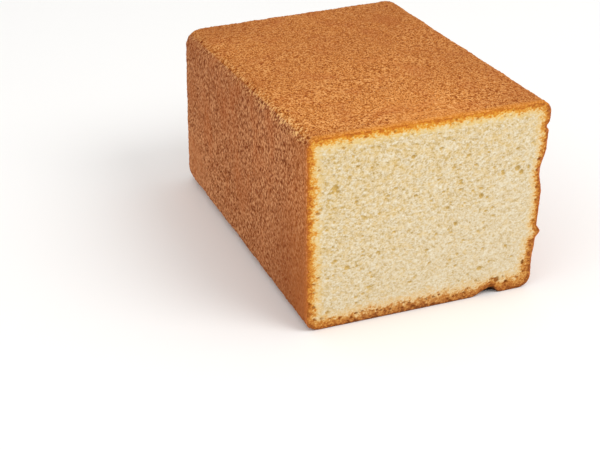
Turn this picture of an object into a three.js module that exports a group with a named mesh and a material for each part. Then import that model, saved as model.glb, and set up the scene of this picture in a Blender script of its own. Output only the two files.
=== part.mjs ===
// Half of a butter cake loaf, cut through near its middle and lying on its base.
// It is one solid: a tin-baked block whose right wall leans in towards the base,
// with a flat knife cut at the front and a rounded crust end at the back.
//
// Millimetres. +X runs across the cut face to its right, +Y from the cut face to
// the crust end, and +Z up. The origin is the centre of the base of the bounding box.

import * as THREE from "three";
import { mergeVertices } from "three/addons/utils/BufferGeometryUtils.js";

// The block, before it is leaned, dented and cut on the slant.
const WIDTH = 110; // across the cut face at its top
const LENGTH = 164.5; // from the cut face to the crust end
const HEIGHT = 85.5;
const HALF = WIDTH / 2;

// The rounding of the long edges widens evenly from the cut to the crust end, and
// runs round the crust end too.
const CUT_RADIUS = 5.5;
const END_RADIUS = 10;

// How the block is out of true.
const CUT_SLANT = 4.5; // the cut's right side lies this far behind its left side
const END_SPREAD = 2.8; // the crust end reaches this much further out at its base
const END_DOME = 0.6; // swell of the crust end
const BACK_WIDEN = 2.1; // the left wall drifts out by this at the crust end
const TOP_FALL_LEFT = 5.3; // the top sinks towards the crust end, on its left side
const TOP_FALL_RIGHT = 2.0; // and on its right side
const RIGHT_LEAN = 5.0; // the right wall leans in by this at the base
const LEFT_LEAN = 0.2;
const TOP_SINK = 0.4; // slack in the middle of the top crust
const WALL_SWELL = 0.4; // low waves along the walls

// Long dents in the right wall, which shrank from its lining paper as it cooled:
// height above the base, half the dent's height, and depth, which is negative where
// the crust stands out. Each wanders up and down as it runs back.
const WALL_DENTS = [
  { height: 74.3, reach: 3, depth: 1.0, wander: 1.2, wave: 60 },
  { height: 54.5, reach: 10, depth: 1.9, wander: 2.5, wave: 190 },
  { height: 26, reach: 4, depth: -1.6, wander: 1.5, wave: 75 },
  { height: 13, reach: 7, depth: 0.4, wander: 1.0, wave: 110 },
];

// The fold in the base near its right edge: it is deepest at the cut and dies out
// towards the crust end.
const FOLD = { across: 32.5, reach: 4.5, depth: 2.8, length: 40, rise: 9 };

// How the surface is divided, before it is bent into shape: even steps, of which the
// outermost ones cross the rounded edges, so the faces between these stay flat.
const STEPS = { across: 26, along: 20, up: 34 };
const EDGE_STEPS = { across: 2, along: 3, up: 2 };

const clamp = THREE.MathUtils.clamp;
const lerp = THREE.MathUtils.lerp;

// 1 at the middle of a dent, falling smoothly to exactly 0 at its reach.
function bump(distance, reach) {
  const share = Math.abs(distance) / reach;
  return share < 1 ? (1 - share * share) ** 2 : 0;
}

// The radius of the rounded edges at a place along the loaf.
function roundingAt(along) {
  return lerp(CUT_RADIUS, END_RADIUS, along / LENGTH);
}

// Where the rounding of the crust end begins: its radius there reaches the end exactly.
const END_START = (LENGTH - CUT_RADIUS) / (1 + (END_RADIUS - CUT_RADIUS) / LENGTH);

// The place of a dividing line on a side from -half to half, whose outermost steps
// cross a rounding of the given radius at each end.
function divideSide(share, steps, edgeSteps, half, radius) {
  const line = Math.round(share * steps);
  const fromEnd = Math.min(line, steps - line);
  if (fromEnd < edgeSteps) {
    return Math.sign(2 * line - steps) * (half - (radius * fromEnd) / edgeSteps);
  }
  return lerp(radius - half, half - radius, (line - edgeSteps) / (steps - 2 * edgeSteps));
}

// The same along the loaf, where only the crust end is rounded.
function divideLength(share) {
  const line = Math.round(share * STEPS.along);
  const evenSteps = STEPS.along - EDGE_STEPS.along;
  if (line <= evenSteps) return (END_START * line) / evenSteps;
  return lerp(END_START, LENGTH, (line - evenSteps) / EDGE_STEPS.along);
}

// A point of the plain block, moved onto a block with rounded edges. The front stays
// a flat face with the outline of the rounded section.
function roundOff(point) {
  const radius = roundingAt(point.y);
  const inner = new THREE.Vector3(
    clamp(point.x, radius - HALF, HALF - radius),
    Math.min(point.y, LENGTH - radius),
    clamp(point.z, radius, HEIGHT - radius),
  );
  const out = point.clone().sub(inner);
  if (out.lengthSq() === 0) return point;
  const reach = Math.max(Math.abs(out.x), Math.abs(out.y), Math.abs(out.z));
  return inner.add(out.setLength(reach));
}

// How far the right wall lies inside the plain block at a place along and up it.
function rightInset(along, height) {
  let inset = RIGHT_LEAN * (1 - height / HEIGHT);
  for (const dent of WALL_DENTS) {
    const drift = dent.wander * Math.sin((2 * Math.PI * along) / dent.wave);
    inset += dent.depth * bump(height - dent.height - drift, dent.reach);
  }
  return inset - wallSwell(along, height);
}

// The same for the left wall.
function leftInset(along, height) {
  const lean = LEFT_LEAN * (1 - height / HEIGHT);
  return lean - (BACK_WIDEN * along) / LENGTH - wallSwell(along, height);
}

function wallSwell(along, height) {
  const share = Math.sin((Math.PI * height) / HEIGHT);
  return WALL_SWELL * share * Math.sin((3 * Math.PI * along) / LENGTH);
}

// The rounded block, bent into the loaf.
function bend(point) {
  const { x, y, z } = point;
  const back = y / LENGTH;
  const up = z / HEIGHT;
  const right = x / WIDTH + 0.5;

  const inset = x > 0 ? rightInset(y, z) : leftInset(y, z);
  const bentX = x * (1 - inset / HALF);

  const fold =
    FOLD.depth *
    bump(x - FOLD.across, FOLD.reach) *
    bump(y, FOLD.length) *
    bump(z, FOLD.rise);
  const middle = Math.sin(Math.PI * right) * Math.sin(Math.PI * back);
  const fall = lerp(TOP_FALL_LEFT, TOP_FALL_RIGHT, right) * back;
  const bentZ = z + fold - (fall + TOP_SINK * middle) * up;

  const dome = Math.sin(Math.PI * right) * Math.sin(Math.PI * up);
  const bentY =
    y +
    CUT_SLANT * (right - 0.5) * (1 - back) +
    END_SPREAD * (1 - up) * back +
    END_DOME * dome * back ** 6;

  return new THREE.Vector3(bentX, bentY, bentZ);
}

// A finely divided box whose every vertex is moved onto the loaf.
function loafGeometry() {
  const box = new THREE.BoxGeometry(1, 1, 1, STEPS.across, STEPS.along, STEPS.up);
  box.deleteAttribute("normal");
  box.deleteAttribute("uv");
  const geometry = mergeVertices(box);
  const places = geometry.getAttribute("position");
  const point = new THREE.Vector3();
  for (let i = 0; i < places.count; i += 1) {
    point.fromBufferAttribute(places, i).addScalar(0.5);
    point.y = divideLength(point.y);
    const radius = roundingAt(point.y);
    point.x = divideSide(point.x, STEPS.across, EDGE_STEPS.across, HALF, radius);
    point.z = divideSide(point.z, STEPS.up, EDGE_STEPS.up, HEIGHT / 2, radius) + HEIGHT / 2;
    const bent = bend(roundOff(point));
    places.setXYZ(i, bent.x, bent.y, bent.z);
  }

  geometry.computeBoundingBox();
  const { min, max } = geometry.boundingBox;
  geometry.translate(-(min.x + max.x) / 2, -(min.y + max.y) / 2, -min.z);
  geometry.computeVertexNormals();
  return geometry;
}

const crust = new THREE.MeshStandardMaterial({
  color: 0xc07a42,
  roughness: 0.8,
  metalness: 0,
});

const cake = new THREE.Mesh(loafGeometry(), crust);
cake.name = "butter_cake";

const model = new THREE.Group();
model.add(cake);

export default model;
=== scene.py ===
import math

import bpy
import numpy as np
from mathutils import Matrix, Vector


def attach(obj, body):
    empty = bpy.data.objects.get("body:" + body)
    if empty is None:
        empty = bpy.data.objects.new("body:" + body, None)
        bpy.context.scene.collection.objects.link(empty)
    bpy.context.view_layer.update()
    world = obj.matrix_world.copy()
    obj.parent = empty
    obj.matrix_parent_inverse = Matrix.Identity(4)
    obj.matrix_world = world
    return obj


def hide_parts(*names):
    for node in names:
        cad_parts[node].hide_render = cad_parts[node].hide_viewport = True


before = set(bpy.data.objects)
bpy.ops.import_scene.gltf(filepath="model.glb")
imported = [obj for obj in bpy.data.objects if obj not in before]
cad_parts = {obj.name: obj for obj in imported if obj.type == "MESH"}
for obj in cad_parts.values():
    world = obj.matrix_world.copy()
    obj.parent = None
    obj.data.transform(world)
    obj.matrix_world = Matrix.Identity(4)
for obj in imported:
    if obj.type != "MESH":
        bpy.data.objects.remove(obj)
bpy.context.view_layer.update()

# Half of a butter cake loaf: a crust baked brown all round, and the pale crumb of its cut face.
# Sizes in the dictionaries are millimetres. Meshes are in metres, in the frame of the CAD model.

metre = 1000.0  # millimetres
cutFoot = np.array((1.206, -82.464, 0.0))  # the middle of the cut's foot, before it is cut on the slant


def fromHex(text):  # an sRGB colour such as "#C97F45", as linear RGBA
    channels = [int(text[i:i + 2], 16) / 255 for i in (1, 3, 5)]
    linear = [c / 12.92 if c <= 0.04045 else ((c + 0.055) / 1.055) ** 2.4 for c in channels]
    return (*linear, 1.0)


def addNode(tree, kind, inputs=None, stops=None, **settings):
    # One node, with its settings and links. An input is a value, a colour such as "#C97F45", a
    # socket, or a node, of which the first output is taken. stops are the colours of a ramp.
    node = tree.nodes.new(kind)
    for name, value in settings.items():
        setattr(node, name, value)
    for key, value in (inputs or {}).items():
        if isinstance(value, bpy.types.Node):
            value = next(socket for socket in value.outputs if socket.enabled)
        if isinstance(value, bpy.types.NodeSocket):
            tree.links.new(value, node.inputs[key])
        else:
            node.inputs[key].default_value = fromHex(value) if str(value).startswith("#") else value
    if stops:
        ramp = node.color_ramp.elements
        ramp.remove(ramp[1])
        ramp[0].position, ramp[0].color = stops[0][0], fromHex(stops[0][1])
        for spot, colour in stops[1:]:
            ramp.new(spot).color = fromHex(colour)
    return node


def bump(distance, reach):  # 1 at the middle of a dent, 0 at its reach
    share = np.abs(distance) / reach
    return np.where(share < 1, (1 - share ** 2) ** 2, 0.0)


def smooth(value, low, high):  # 0 up to low, 1 from high on
    share = np.clip((value - low) / (high - low), 0, 1)
    return share * share * (3 - 2 * share)


loaf = {
    "width": 110.0,  # across the cut face at its top
    "length": 164.5,  # from the cut face to the crust end
    "height": 85.5,
    "cutRadius": 5.5,  # rounding of the long edges at the cut
    "endRadius": 8.4,  # and at the crust end
    "cutSlant": 4.5,  # the cut's right side lies this far behind its left side
    "endSpread": 2.8,  # the crust end reaches this much further out at its base
    "endDome": 0.6,  # swell of the crust end
    "backWiden": 1.1,  # drift of the left wall at the crust end
    "topFallLeft": 6.2,  # how far the top sinks towards the crust end
    "topFallRight": 2.4,
    "rightLean": 5.0,  # how far the right wall leans in at the base
    "leftLean": 0.2,
    "topSink": 0.4,  # slack in the middle of the top crust
    "wallSwell": 0.4,  # low waves along the walls
    # dents of the right wall: height, half the dent's height, depth, how far it wanders, over what length
    "wallDents": [
        (74.3, 2.1, 1.15, 1.2, 60),
        (54.5, 10, 1.9, 2.5, 190),
        (26, 3.2, -1.9, 1.5, 75),
        (13, 7, 0.4, 1.0, 110),
    ],
    # the fold in the base, which rises gently from the left and drops steeply on its right
    "fold": {"across": 34.8, "left": 11.0, "right": 4.2, "depth": 3.3, "length": 3.8, "rise": 9.0},
    "step": 0.46,  # spacing of the crust's points
    "backStep": 8,  # how many of these steps a hidden inner face is wide
}


def wallSwell(along, height):
    share = np.sin(math.pi * height / loaf["height"])
    return loaf["wallSwell"] * share * np.sin(3 * math.pi * along / loaf["length"])


def rightInset(along, height):  # how far the right wall lies inside the plain block
    inset = loaf["rightLean"] * (1 - height / loaf["height"])
    for middle, reach, depth, wander, wave in loaf["wallDents"]:
        drift = wander * np.sin(2 * math.pi * along / wave)
        inset = inset + depth * bump(height - middle - drift, reach)
    return inset - wallSwell(along, height)


def leftInset(along, height):
    lean = loaf["leftLean"] * (1 - height / loaf["height"])
    return lean - loaf["backWiden"] * along / loaf["length"] - wallSwell(along, height)


def roundOff(points):  # the plain block's points on a block with rounded edges, and which way is out
    half, length, height = loaf["width"] / 2, loaf["length"], loaf["height"]
    x, y, z = points.T
    share = np.clip(y / length, 0, 1)
    radius = loaf["cutRadius"] + (loaf["endRadius"] - loaf["cutRadius"]) * share
    inner = np.stack([
        np.clip(x, radius - half, half - radius),
        np.minimum(y, length - radius),
        np.clip(z, radius, height - radius),
    ], 1)
    out = points - inner
    reach = np.abs(out).max(1)
    outward = out / np.maximum(np.linalg.norm(out, axis=1), 1e-9)[:, None]
    return inner + outward * reach[:, None], outward


def bend(points):  # the rounded block, leaned, dented and cut on the slant
    width, length, height = loaf["width"], loaf["length"], loaf["height"]
    x, y, z = points.T
    back, up, right = y / length, z / height, x / width + 0.5
    inset = np.where(x > 0, rightInset(y, z), leftInset(y, z))
    fold = loaf["fold"]
    aside = x - fold["across"]
    lift = (
        fold["depth"]
        * bump(aside, np.where(aside < 0, fold["left"], fold["right"]))
        * bump(y, fold["length"])
        * bump(z, fold["rise"])
    )
    middle = np.sin(math.pi * right) * np.sin(math.pi * back)
    fall = (loaf["topFallLeft"] * (1 - right) + loaf["topFallRight"] * right) * back
    dome = np.sin(math.pi * right) * np.sin(math.pi * up)
    return np.stack([
        x * (1 - inset / (width / 2)),
        y + loaf["cutSlant"] * (right - 0.5) * (1 - back)
        + loaf["endSpread"] * (1 - up) * back
        + loaf["endDome"] * dome * np.clip(back, 0, 1) ** 6,
        z + lift - (fall + loaf["topSink"] * middle) * up,
    ], 1)


def cellRing(rows, columns, rowEnd, columnEnd):
    # the corners round one large cell, with every point of the patch's edge where it touches that
    (r0, r1), (c0, c1) = rows, columns
    ring = [(r0, c) for c in (range(c0, c1) if r0 == 0 else (c0,))]
    ring += [(r, c1) for r in (range(r0, r1) if c1 == columnEnd else (r0,))]
    ring += [(r1, c) for c in (range(c1, c0, -1) if r1 == rowEnd else (c1,))]
    ring += [(r, c0) for r in (range(r1, r0, -1) if c0 == 0 else (r1,))]
    return ring


def makePatch(shape, frontStep):
    # The faces of one closed piece: its front is a grid of points, and its back a coarser grid
    # behind that shares the front's edge. Returns which points are used, the faces, their places
    # on the UV map and which faces are at the front.
    rowEnd, columnEnd = shape[0] - 1, shape[1] - 1
    index = np.arange(shape[0] * shape[1]).reshape(shape)
    onEdge = np.zeros(shape, bool)
    onEdge[[0, -1]] = onEdge[:, [0, -1]] = True
    margin = 0.004  # of the UV map, where the front and the back lie side by side
    frontBox, backBox = (margin, 0.862), (0.876, 1 - margin)
    faces, places = [], []

    def place(r, c, box):
        return box[0] + (box[1] - box[0]) * c / columnEnd, margin + (1 - 2 * margin) * r / rowEnd

    def addCells(step, box, own, turn):
        rowLines, columnLines = (
            list(range(0, end - step // 2, step)) + [end] for end in (rowEnd, columnEnd))
        for rows in zip(rowLines, rowLines[1:]):
            for columns in zip(columnLines, columnLines[1:]):
                ring = cellRing(rows, columns, rowEnd, columnEnd)[::turn]
                faces.append([int(index[p] if onEdge[p] else own[p]) for p in ring])
                places.append(np.array([place(r, c, box) for r, c in ring]))

    if frontStep == 1:
        quads = np.stack([index[:-1, :-1], index[:-1, 1:], index[1:, 1:], index[1:, :-1]], -1)
        faces += quads.reshape(-1, 4).tolist()
        r, c = np.divmod(quads.ravel(), columnEnd + 1)
        places.append(np.stack(place(r, c, frontBox), 1))
    else:
        addCells(frontStep, frontBox, index, 1)
    frontCount = len(faces)
    addCells(loaf["backStep"], backBox, index + index.size, -1)
    used = np.unique(np.concatenate([np.ravel(face) for face in faces]))
    lookup = np.full(2 * index.size, -1)
    lookup[used] = np.arange(len(used))
    lookup = lookup.tolist()
    faces = [[lookup[i] for i in face] for face in faces]
    return used, faces, np.concatenate(places), np.arange(len(faces)) < frontCount


def meshPiece(name, points, faces, places, isFront, attributes):
    mesh = bpy.data.meshes.new(name)
    mesh.from_pydata(((points + cutFoot) / metre).tolist(), [], faces)
    mesh.polygons.foreach_set("use_smooth", isFront)
    layer = mesh.uv_layers.new(name="OFBake")
    layer.uv.foreach_set("vector", places.astype(np.float32).ravel())
    for label, values in attributes.items():
        kind, field = ("FLOAT_VECTOR", "vector") if values.ndim == 2 else ("FLOAT", "value")
        layer = mesh.attributes.new(label, kind, "POINT")
        layer.data.foreach_set(field, np.ascontiguousarray(values, np.float32).ravel())
    piece = bpy.data.objects.new(name, mesh)
    bpy.context.scene.collection.objects.link(piece)
    return piece


def applyTree(piece, tree, values):  # runs a Geometry Nodes tree on a piece and keeps its result
    modifier = piece.modifiers.new(tree.name, "NODES")
    modifier.node_group = tree
    for item in tree.interface.items_tree:
        if item.item_type == "SOCKET" and item.in_out == "INPUT" and item.name in values:
            modifier[item.identifier] = values[item.name]
    graph = bpy.context.evaluated_depsgraph_get()
    result = bpy.data.meshes.new_from_object(piece.evaluated_get(graph))
    piece.modifiers.clear()
    piece.data = result
    result.name = piece.name
    return piece


def startTree(name, inputs):  # a tree with a geometry socket each way and named numbers in
    tree = bpy.data.node_groups.new(name, "GeometryNodeTree")
    tree.is_modifier = True
    tree.interface.new_socket("Geometry", in_out="INPUT", socket_type="NodeSocketGeometry")
    for label, value in inputs.items():
        kind = "NodeSocketInt" if isinstance(value, int) else "NodeSocketFloat"
        socket = tree.interface.new_socket(label, in_out="INPUT", socket_type=kind)
        socket.default_value = value
    tree.interface.new_socket("Geometry", in_out="OUTPUT", socket_type="NodeSocketGeometry")
    return tree, addNode(tree, "NodeGroupInput").outputs


def makePoreGroup():
    # Round pits at random places. Each cell of the pattern holds one bubble, and the surface
    # sinks where it passes through it. Returns how deep, in millimetres.
    tree = bpy.data.node_groups.new("openPores", "GeometryNodeTree")
    new = tree.interface.new_socket
    new("Position", in_out="INPUT", socket_type="NodeSocketVector")
    new("Stretch", in_out="INPUT", socket_type="NodeSocketVector")
    for label in ("Spacing", "Smallest", "Largest", "Share", "Seed"):
        new(label, in_out="INPUT", socket_type="NodeSocketFloat")
    new("Depth", in_out="OUTPUT", socket_type="NodeSocketFloat")
    into = addNode(tree, "NodeGroupInput").outputs
    squeezed = addNode(tree, "ShaderNodeVectorMath", {0: into["Position"], 1: into["Stretch"]},
                       operation="DIVIDE")
    cells = addNode(tree, "ShaderNodeVectorMath", {0: squeezed, 1: into["Spacing"]}, operation="DIVIDE")
    apart = 37.7  # cells between the pattern of one seed and that of the next
    shift = addNode(tree, "ShaderNodeMath", {0: into["Seed"], 1: apart}, operation="MULTIPLY")
    moved = addNode(tree, "ShaderNodeVectorMath", {0: cells, 1: shift})
    bubbles = addNode(tree, "ShaderNodeTexVoronoi", {"Vector": moved, "Scale": 1.0})
    dice = addNode(tree, "ShaderNodeSeparateXYZ", {0: bubbles.outputs["Color"]}).outputs
    reach = addNode(tree, "ShaderNodeMath", {0: bubbles, 1: into["Spacing"]}, operation="MULTIPLY")
    radius = addNode(tree, "ShaderNodeMapRange", {"Value": dice[0], "To Min": into["Smallest"],
                     "To Max": into["Largest"]})
    square = addNode(tree, "ShaderNodeMath", {0: reach, 1: 2.0}, operation="POWER")
    fall = addNode(tree, "ShaderNodeMath", {0: square, 1: radius}, operation="DIVIDE")
    bowl = addNode(tree, "ShaderNodeMath", {0: radius, 1: fall}, operation="SUBTRACT")
    depth = addNode(tree, "ShaderNodeMath", {0: bowl, 1: 0.0}, operation="MAXIMUM")
    chosen = addNode(tree, "ShaderNodeMath", {0: dice[1], 1: into["Share"]}, operation="LESS_THAN")
    result = addNode(tree, "ShaderNodeMath", {0: depth, 1: chosen}, operation="MULTIPLY")
    addNode(tree, "NodeGroupOutput", {0: result})
    return tree


def addNoises(tree, given, layers):
    # The sum, in millimetres, of noises of which the tree's inputs give size and height, and the
    # last noise by itself. Each layer is a name and the place that its noise reads.
    total = 0.0
    for name, place in layers:
        cells = addNode(tree, "ShaderNodeVectorMath", {0: place, 1: given[name + " size"]},
                        operation="DIVIDE")
        noise = addNode(tree, "ShaderNodeTexNoise", {"Vector": cells, "W": given["Seed"], "Scale": 1.0,
                        "Detail": 2.0, "Roughness": 0.6}, noise_dimensions="4D")
        centred = addNode(tree, "ShaderNodeMath", {0: noise, 1: 0.5}, operation="SUBTRACT")
        total = addNode(tree, "ShaderNodeMath", {0: centred, 1: given[name + " height"], 2: total},
                        operation="MULTIPLY_ADD")
    return total, centred


def addPits(tree, given, pores, place, layers):
    # The depth, in millimetres, of the deepest of several layers of pits. Each layer is a name,
    # how its pits are stretched, their seed, and how much of their depth shows.
    deepest = 0.0
    for name, stretch, seed, share in layers:
        layer = addNode(tree, "GeometryNodeGroup", {"Position": place, "Stretch": stretch, "Seed": seed,
                        "Spacing": given[name + " spacing"], "Smallest": given[name + " smallest"],
                        "Largest": given[name + " largest"], "Share": given[name + " share"]},
                        node_tree=pores)
        masked = addNode(tree, "ShaderNodeMath", {0: layer, 1: share}, operation="MULTIPLY")
        deepest = addNode(tree, "ShaderNodeMath", {0: masked, 1: deepest}, operation="MAXIMUM")
    return deepest


def endTree(tree, geometry, offset, outward, mask, kept, material):
    # The last nodes of a relief: keeps the named values, moves the points outward by offset
    # millimetres where the mask lets it, and sets the material.
    allowed = addNode(tree, "GeometryNodeInputNamedAttribute", {"Name": mask}, data_type="FLOAT")
    masked = addNode(tree, "ShaderNodeMath", {0: offset, 1: allowed}, operation="MULTIPLY")
    metres = addNode(tree, "ShaderNodeMath", {0: masked, 1: metre}, operation="DIVIDE")
    push = addNode(tree, "ShaderNodeVectorMath", {0: outward, "Scale": metres}, operation="SCALE")
    for label, value in kept.items():
        geometry = addNode(tree, "GeometryNodeStoreNamedAttribute", {"Geometry": geometry, "Name": label,
                           "Value": value}, data_type="FLOAT", domain="POINT")
    moved = addNode(tree, "GeometryNodeSetPosition", {"Geometry": geometry, "Offset": push})
    real = addNode(tree, "GeometryNodeRealizeInstances", {"Geometry": moved})
    painted = addNode(tree, "GeometryNodeSetMaterial", {"Geometry": real, "Material": material})
    addNode(tree, "NodeGroupOutput", {0: painted})


view = {
    "lens": 90.5,  # on a sensor 36 mm wide
    "fromCut": (-244.6, -504.9, 308.6),  # the camera's place, from the middle of the cut's foot
    "yaw": 20.42,  # degrees to the right of straight along the loaf
    "pitch": 25.79,  # degrees below level
}


def makeCamera():
    data = bpy.data.cameras.new("camera")
    data.lens = view["lens"]
    data.sensor_width = 36.0
    data.clip_start, data.clip_end = 0.05, 20.0
    camera = bpy.data.objects.new("camera", data)
    camera.location = (cutFoot + view["fromCut"]) / metre
    camera.rotation_euler = (math.radians(90 - view["pitch"]), 0.0, math.radians(-view["yaw"]))
    bpy.context.scene.collection.objects.link(camera)
    bpy.context.scene.camera = camera


studio = {
    "sky": 0.86,  # strength of the white surroundings
    # the two round lamps: place and diameter in metres, power in watts
    "key": {"place": (0.55, -0.75, 1.0), "size": 0.8, "power": 7.0},
    "fill": {"place": (-0.9, -0.5, 0.7), "size": 1.0, "power": 1.5},
    "aim": (0.0, 0.0, 0.04),  # where both lamps point, in metres
    "floor": "#F7F6F4",
    "floorReach": 6.0,  # metres
}


def makeStudio():
    world = bpy.data.worlds.new("studio")
    bpy.context.scene.world = world
    world.use_nodes = True
    background = world.node_tree.nodes["Background"]
    background.inputs["Color"].default_value = (1.0, 1.0, 1.0, 1.0)
    background.inputs["Strength"].default_value = studio["sky"]
    for name in ("key", "fill"):
        data = bpy.data.lights.new(name, "AREA")
        data.shape = "DISK"
        data.size = studio[name]["size"]
        data.energy = studio[name]["power"]
        lamp = bpy.data.objects.new(name, data)
        lamp.location = studio[name]["place"]
        lamp.rotation_euler = (Vector(studio["aim"]) - lamp.location).to_track_quat("-Z", "Y").to_euler()
        bpy.context.scene.collection.objects.link(lamp)
    mesh = bpy.data.meshes.new("floor")
    reach = studio["floorReach"]
    mesh.from_pydata([(-reach, -reach, 0), (reach, -reach, 0), (reach, reach, 0), (-reach, reach, 0)],
                     [], [(0, 1, 2, 3)])
    floor = bpy.data.objects.new("floor", mesh)
    bpy.context.scene.collection.objects.link(floor)
    # the floor is a sheet of pale, matt board
    material = bpy.data.materials.new("paleBoard")
    material.use_nodes = True
    shader = material.node_tree.nodes["Principled BSDF"]
    shader.inputs["Base Color"].default_value = fromHex(studio["floor"])
    shader.inputs["Roughness"].default_value = 0.9
    mesh.materials.append(material)
    settings = bpy.context.scene.view_settings
    settings.view_transform = "Standard"
    settings.look = "None"
    settings.exposure, settings.gamma = 0.0, 1.0


crust = {
    # the arris at the cut, from under the crumb out to the skin: place along, depth under the skin
    # of each row of points
    "arris": [(7.0, 3.2), (1.6, 2.2), (0.35, 1.1), (0.0, 0.6), (0.0, 0.3), (0.0, 0.0), (0.3, 0.0)],
    "firstRow": 0.7,  # place along where the evenly spaced rows begin
    "depth": 22.0,  # how deep under the skin a piece of crust ends
    "baseStep": 4,  # the base is this much coarser
    # noises, and pits, of which share gives how many of the places in a pattern have one
    "relief": {
        "Lump size": 13.0, "Lump height": 0.9,
        "Swell size": 3.2, "Swell height": 0.6,
        "Grain size": 1.0, "Grain height": 1.1, "Grain length": 1.9,
        "Pit spacing": 2.7, "Pit smallest": 0.45, "Pit largest": 0.95, "Pit share": 0.65,
        "Streak spacing": 2.1, "Streak smallest": 0.35, "Streak largest": 0.75, "Streak share": 0.5,
        "Streak length": 2.6,
        "Seed": 7,
    },
    # where looks begin and end, by distance from the cut, the ridge or the base
    "fades": {
        "skin": (0.2, 0.5), "relief": (0.0, 2.5), "pits": (0.5, 3.0), "ridgePits": (2.0, 6.0),
        "cutEdge": (0.3, 3.5), "cutGlow": (3.0, 28.0), "fold": (0.2, 0.8), "base": (0.5, 6.0),
        "ridge": (1.5, 5.5), "ridgeStart": (1.0, 9.0), "rubbed": (10, 110),
    },
    "foldShadeEnd": 6.0,  # how far behind the cut the painted shade inside the fold reaches
    # how brown the skin is, with painted shade at the lower front of the loaf's left side: across,
    # along, up, amount, which is negative where it is pale and even
    "brownedAndShaded": [
        (-45, 12, 85, 0.0), (-50, 2, 85, 0.4), (0, 5, 85, -0.6), (50, 8, 85, 0.55), (0, 60, 85, 0.2),
        (50, 60, 85, 0.6), (-45, 80, 85, 0.4), (-54, 125, 85, 0.3), (-45, 150, 85, 0.85),
        (45, 150, 85, 0.75), (0, 110, 85, 0.55),
        (-55, 10, 60, 0.1), (-55, 15, 35, 0.9), (-55, 10, 15, 1.3), (-55, 60, 40, 0.2), (-55, 45, 64, -0.15),
        (-55, 150, 60, 0.35), (-55, 150, 15, -0.8),
        (52, 40, 40, 0.4), (52, 150, 40, 0.5), (0, 166, 40, 0.6), (0, 80, 0, 0.8),
    ],
}


def makeCrustTree(pores, material):
    tree, given = startTree("crustRelief", crust["relief"])
    place = addNode(tree, "ShaderNodeVectorMath", {0: addNode(tree, "GeometryNodeInputPosition"),
                    "Scale": metre}, operation="SCALE")
    outward = addNode(tree, "GeometryNodeInputNamedAttribute", {"Name": "outward"},
                      data_type="FLOAT_VECTOR")
    facing = addNode(tree, "ShaderNodeSeparateXYZ", {0: outward}).outputs[2]
    side = addNode(tree, "ShaderNodeMapRange", {"Value": facing, "From Min": 0.8, "From Max": 0.6})

    # the walls' grain is drawn out upwards, from the ridge down
    fromRidge = addNode(tree, "ShaderNodeVectorMath", {0: place, 1: (0.0, 0.0, loaf["height"])},
                        operation="SUBTRACT")
    length = addNode(tree, "ShaderNodeMapRange", {"Value": side, "To Min": 1.0,
                     "To Max": given["Grain length"]})
    stretch = addNode(tree, "ShaderNodeCombineXYZ", {0: 1.0, 1: 1.0, 2: length})
    upright = addNode(tree, "ShaderNodeVectorMath", {0: fromRidge, 1: stretch}, operation="DIVIDE")
    offset, grain = addNoises(tree, given, (("Lump", place), ("Swell", place), ("Grain", upright)))

    # pits everywhere, and streaks that run down the walls
    tall = addNode(tree, "ShaderNodeCombineXYZ", {0: 1.0, 1: 1.0, 2: given["Streak length"]})
    layers = (("Pit", (1.0, 1.0, 1.0), given["Seed"], 1.0), ("Streak", tall, given["Seed"], side))
    pit = addPits(tree, given, pores, place, layers)
    clear = addNode(tree, "GeometryNodeInputNamedAttribute", {"Name": "pitShare"}, data_type="FLOAT")
    pit = addNode(tree, "ShaderNodeMath", {0: pit, 1: clear}, operation="MULTIPLY")
    offset = addNode(tree, "ShaderNodeMath", {0: offset, 1: pit}, operation="SUBTRACT")

    # the base lies flat, and only its pits show
    under = addNode(tree, "ShaderNodeMapRange", {"Value": facing, "From Min": -0.75, "From Max": -0.95})
    pressed = addNode(tree, "ShaderNodeMath", {0: offset, 1: 0.0}, operation="MINIMUM")
    offset = addNode(tree, "ShaderNodeMix", {0: under, 2: offset, 3: pressed})
    endTree(tree, given["Geometry"], offset, outward, "skinShare",
            {"pit": pit, "grain": grain, "side": side}, material)
    return tree


def crustPoints(name, inset):
    # The plain points of one piece of crust, in rows from the cut to the crust end and in columns
    # that turn clockwise as seen from the cut. inset takes all of them that far under the skin.
    half, height, length, step = loaf["width"] / 2, loaf["height"], loaf["length"], loaf["step"]
    across = np.linspace(-1, 1, round(2 * half / step) + 1)
    upward = np.linspace(-1, 1, round(height / step) + 1)
    if name == "end_crust":
        x, z = np.meshgrid(across, -upward)
        along = np.full(x.shape, length - inset)
        under = np.full(x.shape, float(inset))
    else:
        columns = {
            "top_crust": (across, 1 + 0 * across),
            "right_crust": (1 + 0 * upward, -upward),
            "base_crust": (-across, -1 + 0 * across),
            "left_crust": (-1 + 0 * upward, upward),
        }[name]
        skinRows = crust["firstRow"] + np.linspace(0, length - crust["firstRow"], round(length / step))
        rows = np.array(crust["arris"] + [(y, 0.0) for y in skinRows])
        x, z = (np.tile(values, (len(rows), 1)) for values in columns)
        along = inset + np.tile(rows[:, :1], (1, x.shape[1])) * (length - 2 * inset) / length
        under = np.maximum(np.tile(rows[:, 1:], (1, x.shape[1])), inset)
    return np.stack([x * (half - under), along, height / 2 + z * (height / 2 - under)], -1), under


def nearValues(points, table):
    # blends the table's values, each of which belongs to a place, by how near the places are
    places, values = table[:, :points.shape[1]], table[:, points.shape[1]:]
    gap = ((points[:, None, :] - places[None]) ** 2).sum(2)
    evenness = 60  # square millimetres: the more, the softer the blend
    weight = 1 / (gap + evenness) ** 1.5
    return (weight @ values) / weight.sum(1)[:, None]


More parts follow.
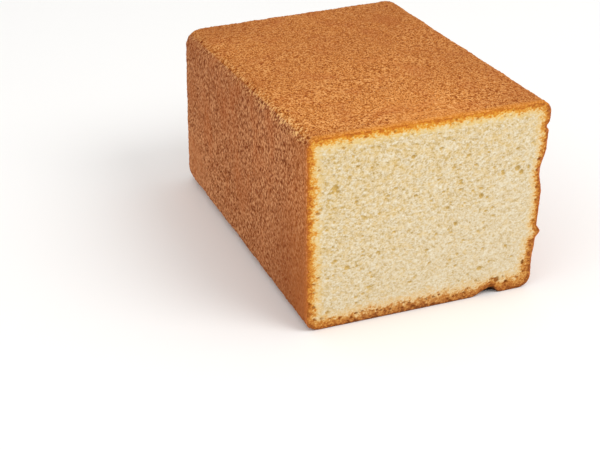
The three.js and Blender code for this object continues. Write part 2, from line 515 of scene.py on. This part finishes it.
def makeCrustPiece(name, tree):
    plain, under = crustPoints(name, 0.0)
    behind, _ = crustPoints(name, crust["depth"])
    rounded, outward = roundOff(plain.reshape(-1, 3))
    step = crust["baseStep"] if name == "base_crust" else 1
    used, faces, places, isFront = makePatch(under.shape, step)
    points = np.concatenate([bend(rounded), bend(behind.reshape(-1, 3))])[used]

    def both(values):  # the front's values, for the back's points as well
        return np.concatenate([values, values])[used]

    # only the skin moves, less at the cut; the ridge is rubbed on the left, most near the cut
    x, along, z = both(plain.reshape(-1, 3)).T
    fades, fold = crust["fades"], loaf["fold"]
    skin = (1 - smooth(both(under.ravel()), *fades["skin"])) * (used < under.size)
    ridge = np.hypot(loaf["width"] / 2 - np.abs(x), loaf["height"] - z)
    # painted shade: the underside of the fold is painted near black where shade falls in it
    foldShadeMask = bump(x - fold["across"], 2 * fold["right"]) * bump(z, 2.0) * smooth(along, *fades["fold"])
    rubbed = np.where(x < 0, 1.1 - 0.85 * smooth(along, *fades["rubbed"]), 0.25)
    if step == 1 and name != "end_crust":
        isFront[:(len(crust["arris"]) - 1) * (under.shape[1] - 1)] = False  # keeps the cut's edge sharp
    piece = meshPiece(name, points, faces, places, isFront, {
        "outward": both(outward),
        "skinShare": skin * (0.45 + 0.55 * smooth(along, *fades["relief"])),
        "pitShare": smooth(along, *fades["pits"]) * (1.3 - 0.8 * smooth(ridge, *fades["ridgePits"])),
        "cutShare": 1 - smooth(along, *fades["cutEdge"]) * (0.5 + 0.5 * smooth(along, *fades["cutGlow"])),
        "foldShadeShare": foldShadeMask * (along < crust["foldShadeEnd"]),
        "baseShare": 1 - smooth(z, *fades["base"]),
        "ridgeShare": (1 - smooth(ridge, *fades["ridge"])) * smooth(along, *fades["ridgeStart"]) * rubbed,
        "brownedAndShaded": nearValues(both(plain.reshape(-1, 3)), np.array(crust["brownedAndShaded"]))[:, 0],
    })
    applyTree(piece, tree, crust["relief"])
    print(name, "has", len(piece.data.polygons), "faces")
    return piece


crumb = {
    "cells": (328, 255),  # across and up
    "inset": 0.35,  # the crust covers this much of the cut's edge
    "depth": 16.0,  # how far behind the cut the piece ends
    "backNarrowing": 0.8,  # how much its back is narrower all round, as a share of that depth
    # where looks begin and end: by depth under the skin, share of the rim, and height
    "fades": {"face": (0.35, 0.9), "rimPits": (0.0, 0.3), "warmth": (0, 90)},
    "relief": {
        "Fine spacing": 1.1, "Fine smallest": 0.15, "Fine largest": 0.38, "Fine share": 0.4,
        "Middle spacing": 2.2, "Middle smallest": 0.35, "Middle largest": 0.8, "Middle share": 0.6,
        "Coarse spacing": 7.0, "Coarse smallest": 0.6, "Coarse largest": 1.0, "Coarse share": 0.4,
        "Rim spacing": 2.1, "Rim smallest": 0.25, "Rim largest": 1.0, "Rim share": 0.75,
        "Wave size": 5.0, "Wave height": 0.6,
        "Grain size": 1.2, "Grain height": 0.38,
        "Pore width": 1.5,  # pores and grains lie a little wider than tall
        "Seed": 3,
    },
    # the largest holes: across, up, half width, half height, depth
    "holes": [
        (-42.3, 62.5, 1.5, 1.7, 1.0), (-43.4, 60.9, 0.9, 0.8, 0.8), (-41.1, 60.9, 0.9, 0.8, 0.8),
        (-46.5, 65.5, 0.6, 1.2, 0.5), (-32.7, 70.3, 1.0, 0.6, 0.8), (-8.1, 70.5, 1.1, 0.9, 0.9),
        (40.5, 57.4, 1.3, 1.4, 1.0), (42.6, 55.3, 1.1, 1.2, 0.9), (45.8, 57.0, 0.7, 1.3, 0.6),
        (40.0, 66.2, 1.1, 0.7, 0.8), (24.1, 47.6, 1.2, 1.2, 1.0), (12.5, 36.9, 1.1, 0.9, 0.9),
        (25.0, 13.5, 1.4, 1.1, 0.9), (8.4, 44.9, 0.9, 0.7, 0.7), (-6.6, 53.0, 1.0, 0.6, 0.7),
        (-0.5, 27.3, 1.0, 0.6, 0.7), (-7.9, 13.8, 1.3, 0.5, 0.7),
        (33.8, 6.4, 1.5, 1.5, 0.7), (31.3, 7.2, 1.2, 0.7, 0.4), (38.3, 4.6, 0.9, 0.8, 1.0),
        (46.0, 12.4, 0.8, 1.2, 0.9),
    ],
    # rim of the crust on the cut: across, up, how thick it is, how brown, and its share of pits
    "rim": [
        (-55, 85, 4.8, 0.25, 0.1), (-40, 85, 4.0, 0.0, -0.1), (-10, 85, 3.8, 0.0, -0.1),
        (30, 85, 3.6, 0.0, -0.1), (45, 85, 3.6, 0.2, 0.3), (55, 84, 5.4, 0.6, 1.2),
        (54, 72, 3.7, 0.6, 1.0), (52, 58, 3.1, 0.65, 0.9), (52, 35, 3.3, 0.65, 0.8),
        (50, 18, 4.6, 0.8, 1.0), (47, 3, 7.6, 0.8, 1.0), (37, 0, 6.6, 0.8, 1.0),
        (25, 0, 5.2, 0.9, 0.9), (0, 0, 5.8, 1.0, 1.2), (-25, 0, 5.6, 1.0, 1.0),
        (-55, 0, 5.0, 0.7, 1.0), (-55, 20, 4.8, 0.4, 1.0), (-55, 45, 4.6, 0.3, 0.7),
        (-55, 68, 4.6, 0.3, 0.5),
    ],
}


def makeCrumbTree(pores, material):
    tree, given = startTree("crumbRelief", crumb["relief"])
    place = addNode(tree, "ShaderNodeVectorMath", {0: addNode(tree, "GeometryNodeInputPosition"),
                    "Scale": metre}, operation="SCALE")
    outward = addNode(tree, "GeometryNodeInputNamedAttribute", {"Name": "outward"},
                      data_type="FLOAT_VECTOR")

    # a fine noise makes the pores' outlines ragged
    ragged = addNode(tree, "ShaderNodeTexNoise", {"Vector": place, "W": given["Seed"], "Scale": 1.0},
                     noise_dimensions="4D")
    drift = addNode(tree, "ShaderNodeVectorMath", {0: ragged.outputs["Color"], 1: (1.1, 1.1, 1.1), 2: place},
                    operation="MULTIPLY_ADD")
    wide = addNode(tree, "ShaderNodeCombineXYZ", {0: given["Pore width"], 1: 1.0, 2: 1.0})
    rimPits = addNode(tree, "GeometryNodeInputNamedAttribute", {"Name": "rimPits"}, data_type="FLOAT")
    layers = []
    nextSeed = 1.7  # gives each layer of pores a pattern of its own
    for name, share in (("Fine", 1.0), ("Middle", 1.0), ("Coarse", 1.0), ("Rim", rimPits)):
        seed = addNode(tree, "ShaderNodeMath", {0: given["Seed"], 1: len(layers) * nextSeed})
        layers.append((name, wide, seed, share))
    depth = addPits(tree, given, pores, drift, layers)

    # the larger holes, each with a ragged outline too
    share, deepest = (addNode(tree, "GeometryNodeInputNamedAttribute", {"Name": name}, data_type="FLOAT")
                      for name in ("holeShare", "holeDepth"))
    rough = addNode(tree, "ShaderNodeMath", {0: ragged, 1: 1.6, 2: share}, operation="MULTIPLY_ADD")
    hole = addNode(tree, "ShaderNodeMapRange", {"Value": rough, "From Min": 0.8, "From Max": 1.5,
                   "To Max": deepest})
    depth = addNode(tree, "ShaderNodeMath", {0: depth, 1: hole}, operation="MAXIMUM")

    flat = addNode(tree, "ShaderNodeVectorMath", {0: place, 1: wide}, operation="DIVIDE")
    offset, grain = addNoises(tree, given, (("Wave", flat), ("Grain", flat)))
    offset = addNode(tree, "ShaderNodeMath", {0: offset, 1: depth}, operation="SUBTRACT")
    endTree(tree, given["Geometry"], offset, outward, "faceShare", {"pore": depth, "grain": grain}, material)
    return tree


def makeCrumbPiece(tree):
    half, height = loaf["width"] / 2, loaf["height"]
    acrossCount, upCount = crumb["cells"]
    x, z = np.meshgrid(np.linspace(-1, 1, acrossCount + 1), np.linspace(-1, 1, upCount + 1))

    def level(inset, along):
        grid = np.stack([x * (half - inset), along + 0 * x, height / 2 + z * (height / 2 - inset)], -1)
        return grid.reshape(-1, 3)

    plain = level(crumb["inset"], 0.0)
    behind = level(crumb["depth"] * crumb["backNarrowing"], crumb["depth"])
    used, faces, places, isFront = makePatch(x.shape, 1)
    points = np.concatenate([bend(roundOff(plain)[0]), bend(behind)])[used]
    px, _, pz = np.concatenate([plain, plain])[used].T

    skinDepth = np.min([half - np.abs(px), pz, height - pz], axis=0)
    thick, brown, pits = nearValues(np.stack([px, pz], 1), np.array(crumb["rim"])).T
    rimShare = 1 - skinDepth / thick
    fades = crumb["fades"]
    holeShare = np.full(len(points), -2.0)
    holeDepth = np.zeros(len(points))
    for across, up, halfWidth, halfHeight, depth in crumb["holes"]:
        share = 1 - ((points[:, 0] - across) / halfWidth) ** 2 - ((points[:, 2] - up) / halfHeight) ** 2
        holeDepth = np.where(share > holeShare, depth, holeDepth)
        holeShare = np.maximum(holeShare, share)
    piece = meshPiece("cut_crumb", points, faces, places, isFront, {
        "outward": np.tile([0.0, -1.0, 0.0], (len(points), 1)),
        "rimShare": np.clip(rimShare, -3, 1),
        "rimBrown": brown,
        "rimPits": pits * smooth(rimShare, *fades["rimPits"]),
        "faceShare": smooth(skinDepth, *fades["face"]) * (used < x.size),
        "holeShare": holeShare,
        "holeDepth": holeDepth,
        "warmth": smooth(pz - px * 0.5, *fades["warmth"]),  # the upper left is warmer and more uneven
    })
    applyTree(piece, tree, crumb["relief"])
    print("cut_crumb has", len(piece.data.polygons), "faces")
    return piece


def startMaterial(name, attributes):  # a material, its place socket in metres and its attributes
    material = bpy.data.materials.new(name)
    material.use_nodes = True
    tree = material.node_tree
    coords = addNode(tree, "ShaderNodeTexCoord").outputs["Object"]
    values = [addNode(tree, "ShaderNodeAttribute", attribute_name=label).outputs["Fac"]
              for label in attributes]
    return material, tree, coords, values


def endMaterial(tree, colour, height, look):
    raised = addNode(tree, "ShaderNodeBump", {"Height": height, "Distance": look["bump"],
                     "Strength": look["bumpStrength"]})
    shader = tree.nodes["Principled BSDF"]
    tree.links.new(colour.outputs[2], shader.inputs["Base Color"])
    tree.links.new(raised.outputs[0], shader.inputs["Normal"])
    shader.inputs["Roughness"].default_value = look["roughness"]
    shader.inputs["Specular IOR Level"].default_value = look["specular"]


crustLook = {
    "roughness": 0.85,
    "specular": 0.05,
    "bump": 0.0006,  # metres
    "bumpStrength": 0.8,
    "tall": 2.0,  # how many times as tall as wide its grains are
    "evenLevel": 0.62,  # the level that pale and even skin comes to
    # sizes of its grains, of clumps of crumbs and of clouds of browning, with their detail
    "fine": (0.68, 1.0), "clump": (1.8, 2.0), "cloud": (15.0, 3.0),
    # the most that each colour laid over the skin covers of it
    "cover": {"reddish": 0.45, "deep": 0.6, "cut": 0.45, "base": 0.6, "pit": 0.75},
}
crustColours = {
    "top": [(0.1, "#863F10"), (0.5, "#CE8039"), (0.9, "#ECAB68")],
    # the walls' ramp is darker than the top's, partly as painted shade
    "wallAndShade": [(0.12, "#682C10"), (0.5, "#B26F43"), (0.88, "#DA9D6C")],
    "reddish": "#B4602E",
    # deep browning, which at the lower front of the loaf's left side is painted shade
    "deep": "#97542B",
    "base": "#8A5028",
    "worn": "#F0B876",
    "cutEdge": "#DA8A2C",
    "cutWall": "#BF6C2B",
    # the pits' dark red, partly their own colour and partly painted shade in them
    "pit": "#7A2A0A",
    # painted shade inside the fold, near black
    "paintedFoldShade": "#241007",
}


def makeCrustMaterial():
    # Cake crust is dry and matt, with a fine sponge of burst bubbles that browned deepest on the tin's
    # walls. The walls' darker colour and the pits' dark colour are partly painted shade, and the near
    # black inside the fold is painted shade. The rubbed ridge shows pale crumbs.
    material, tree, coords, (grain, pit, side, cut, base, ridge, brownedAndShaded, fold) = startMaterial(
        "brownedCakeCrust",
        ("grain", "pit", "side", "cutShare", "baseShare", "ridgeShare", "brownedAndShaded", "foldShadeShare"))
    tall, even = (
        addNode(tree, "ShaderNodeMapping", {"Vector": coords, "Scale": (metre, metre, metre / stretch)})
        for stretch in (crustLook["tall"], 1.0))
    fine, clump, cloud = (
        addNode(tree, "ShaderNodeTexNoise", {"Vector": place, "W": crustLook[name][0],
                "Scale": 1 / crustLook[name][0], "Detail": crustLook[name][1], "Roughness": 0.55},
                noise_dimensions="4D")
        for place, name in ((tall, "fine"), (even, "clump"), (tall, "cloud")))

    # level runs from the dark to the pale end of the ramps
    coarse = addNode(tree, "ShaderNodeMath", {0: grain, 1: 1.1, 2: -0.8}, operation="MULTIPLY_ADD")
    centred = addNode(tree, "ShaderNodeMath", {0: clump, 1: 0.5}, operation="SUBTRACT")
    weight = addNode(tree, "ShaderNodeMapRange", {"Value": side, "To Min": 1.2, "To Max": 0.3})
    clumpy = addNode(tree, "ShaderNodeMath", {0: centred, 1: weight, 2: coarse}, operation="MULTIPLY_ADD")
    level = addNode(tree, "ShaderNodeMath", {0: fine, 1: 2.6, 2: clumpy}, operation="MULTIPLY_ADD")
    evened = addNode(tree, "ShaderNodeMapRange", {"Value": brownedAndShaded, "From Min": 0.0, "From Max": -1.0,
                     "To Max": 0.7})
    level = addNode(tree, "ShaderNodeMix", {0: evened, 2: level, 3: crustLook["evenLevel"]})
    top, wallAndShade = (addNode(tree, "ShaderNodeValToRGB", {0: level}, stops=crustColours[name])
                 for name in ("top", "wallAndShade"))
    blurred = addNode(tree, "ShaderNodeMath", {0: level, 1: 0.4, 2: side}, operation="MULTIPLY_ADD")
    edge = addNode(tree, "ShaderNodeMapRange", {"Value": blurred, "From Min": 0.5, "From Max": 0.9})
    # the walls take the darker ramp, partly painted shade
    colour = addNode(tree, "ShaderNodeMix", {0: edge, 6: top, 7: wallAndShade}, data_type="RGBA")

    # how far each of the colours laid over it covers
    cover = crustLook["cover"]
    clouded = addNode(tree, "ShaderNodeMapRange", {"Value": cloud, "From Min": 0.5, "From Max": 0.72,
                      "To Max": cover["reddish"]})
    # deep brown where the skin is browned, and painted shade at the lower front of the loaf's left side
    deep = addNode(tree, "ShaderNodeMath", {0: brownedAndShaded, 1: cover["deep"]}, operation="MULTIPLY")
    narrow = addNode(tree, "ShaderNodeMapRange", {"Value": cut, "From Min": 0.5})
    cutReach = addNode(tree, "ShaderNodeMix", {0: side, 2: narrow, 3: cut})
    orange = addNode(tree, "ShaderNodeMath", {0: cutReach, 1: cover["cut"]}, operation="MULTIPLY")
    edgeColour = addNode(tree, "ShaderNodeMix", {0: side, 6: crustColours["cutEdge"],
                         7: crustColours["cutWall"]}, data_type="RGBA")
    under = addNode(tree, "ShaderNodeMath", {0: base, 1: cover["base"]}, operation="MULTIPLY")
    crumbs = addNode(tree, "ShaderNodeMath", {0: level, 1: 0.25, 2: clump}, operation="MULTIPLY_ADD")
    crumbs = addNode(tree, "ShaderNodeMapRange", {"Value": crumbs, "From Min": 0.65, "From Max": 0.76})
    rubbed = addNode(tree, "ShaderNodeMath", {0: crumbs, 1: ridge}, operation="MULTIPLY")
    # pits darken with their depth, partly their own colour and partly painted shade
    sunkTintAndShade = addNode(tree, "ShaderNodeMapRange", {"Value": pit, "From Min": 0.05, "From Max": 0.35,
                   "To Max": cover["pit"]})
    for share, over in ((clouded, crustColours["reddish"]), (deep, crustColours["deep"]),
                        (orange, edgeColour.outputs[2]), (under, crustColours["base"]),
                        (rubbed, crustColours["worn"]), (sunkTintAndShade, crustColours["pit"]),
                        # painted shade: the near black inside the fold
                        (fold, crustColours["paintedFoldShade"])):
        colour = addNode(tree, "ShaderNodeMix", {0: share, 6: colour, 7: over}, data_type="RGBA")
    endMaterial(tree, colour, fine, crustLook)
    return material


crumbLook = {
    "roughness": 0.9,
    "specular": 0.1,
    "bump": 0.0003,  # metres
    "bumpStrength": 0.6,
    "wide": 1.25,  # how many times as wide as tall its grains are
    "evenLevel": 0.55,  # the level that the lower part's crumb is drawn to
    # sizes of its grains, of buttery patches and of the rim's waves, with their detail
    "fine": (0.7, 1.0), "patch": (2.0, 2.0), "uneven": (2.6, 3.0),
    # the most that a colour laid over the crumb covers of it
    "cover": {"butter": 0.55, "pore": 0.85},
}
crumbColours = {
    "crumb": [(0.1, "#AC9055"), (0.4, "#CBB68F"), (0.6, "#D6C8AB"), (0.9, "#E2D9C2")],
    "golden": [(0.0, "#DFBE74"), (0.35, "#DB9A36"), (0.7, "#C67523"), (1.0, "#B0611F")],
    "browner": [(0.0, "#D9B47A"), (0.3, "#C18848"), (0.7, "#A5652F"), (1.0, "#7B451F")],
    "butter": "#D6B570",
    # the pores' colours, partly their own and partly painted shade in them
    "pore": "#CBA95E",
    "goldenPore": "#BF7626",
    "brownPore": "#7C3F14",
}


def makeCrumbMaterial():
    # Butter crumb is soft and matt, cream where it is cut and golden inside its pores, and
    # turns gold, orange and brown as it nears the crust. The pores' darker colours are partly painted shade.
    material, tree, coords, (grain, pore, rimShare, brown, warmth) = startMaterial(
        "butterCakeCrumb", ("grain", "pore", "rimShare", "rimBrown", "warmth"))
    wide = addNode(tree, "ShaderNodeMapping",
                   {"Vector": coords, "Scale": (metre / crumbLook["wide"], metre, metre)})
    fine, patch, uneven = (
        addNode(tree, "ShaderNodeTexNoise", {"Vector": wide, "W": crumbLook[name][0],
                "Scale": 1 / crumbLook[name][0], "Detail": crumbLook[name][1], "Roughness": 0.55},
                noise_dimensions="4D")
        for name in ("fine", "patch", "uneven"))

    # level runs from the dark to the pale end of the ramp, and spreads furthest where it is warm
    coarse = addNode(tree, "ShaderNodeMath", {0: grain, 1: 1.4, 2: -0.15}, operation="MULTIPLY_ADD")
    level = addNode(tree, "ShaderNodeMath", {0: fine, 1: 1.3, 2: coarse}, operation="MULTIPLY_ADD")
    evened = addNode(tree, "ShaderNodeMapRange", {"Value": warmth, "To Min": 0.3, "To Max": -0.1})
    softer = addNode(tree, "ShaderNodeMix", {0: evened, 2: level, 3: crumbLook["evenLevel"]},
                     clamp_factor=False)
    colour = addNode(tree, "ShaderNodeValToRGB", {0: softer}, stops=crumbColours["crumb"])
    warmer = addNode(tree, "ShaderNodeMath", {0: warmth, 1: 0.15, 2: patch}, operation="MULTIPLY_ADD")
    buttery = addNode(tree, "ShaderNodeMapRange", {"Value": warmer, "From Min": 0.53, "From Max": 0.83,
                      "To Max": crumbLook["cover"]["butter"]})
    colour = addNode(tree, "ShaderNodeMix", {0: buttery, 6: colour, 7: crumbColours["butter"]},
                     data_type="RGBA")

    # the golden to brown rim, darkest beside the crust
    rim = addNode(tree, "ShaderNodeMath", {0: uneven, 1: 1.15, 2: rimShare}, operation="MULTIPLY_ADD")
    rim = addNode(tree, "ShaderNodeMath", {0: level, 1: -0.6, 2: rim}, operation="MULTIPLY_ADD")
    inside = addNode(tree, "ShaderNodeMapRange", {"Value": rim, "From Min": -0.42, "From Max": 0.54})
    specked = addNode(tree, "ShaderNodeMath", {0: level, 1: -0.55, 2: rim}, operation="MULTIPLY_ADD")
    golden, browner = (
        addNode(tree, "ShaderNodeValToRGB", {0: specked}, stops=crumbColours[name])
        for name in ("golden", "browner"))
    crusty = addNode(tree, "ShaderNodeMix", {0: brown, 6: golden, 7: browner}, data_type="RGBA")
    colour = addNode(tree, "ShaderNodeMix", {0: inside, 6: colour, 7: crusty}, data_type="RGBA")
    rimPore = addNode(tree, "ShaderNodeMix", {0: brown, 6: crumbColours["goldenPore"],
                      7: crumbColours["brownPore"]}, data_type="RGBA")
    poreTintAndShade = addNode(tree, "ShaderNodeMix", {0: inside, 6: crumbColours["pore"], 7: rimPore},
                         data_type="RGBA")
    # pores darken with their depth, partly their own colour and partly painted shade
    sunkTintAndShade = addNode(tree, "ShaderNodeMapRange", {"Value": pore, "From Min": 0.08, "From Max": 0.5,
                   "To Max": crumbLook["cover"]["pore"]})
    colour = addNode(tree, "ShaderNodeMix", {0: sunkTintAndShade, 6: colour, 7: poreTintAndShade}, data_type="RGBA")
    endMaterial(tree, colour, fine, crumbLook)
    return material


makeCamera()
makeStudio()
print("camera, light and floor are made")

crustNames = ("top_crust", "left_crust", "right_crust", "end_crust", "base_crust")
poreGroup = makePoreGroup()
crustTree = makeCrustTree(poreGroup, makeCrustMaterial())
crumbTree = makeCrumbTree(poreGroup, makeCrumbMaterial())
pieces = [(makeCrustPiece(name, crustTree), "cake_crust") for name in crustNames]
pieces.append((makeCrumbPiece(crumbTree), "cake_crumb"))
for piece, slotName in pieces:
    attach(piece, "root")
    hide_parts("butter_cake")
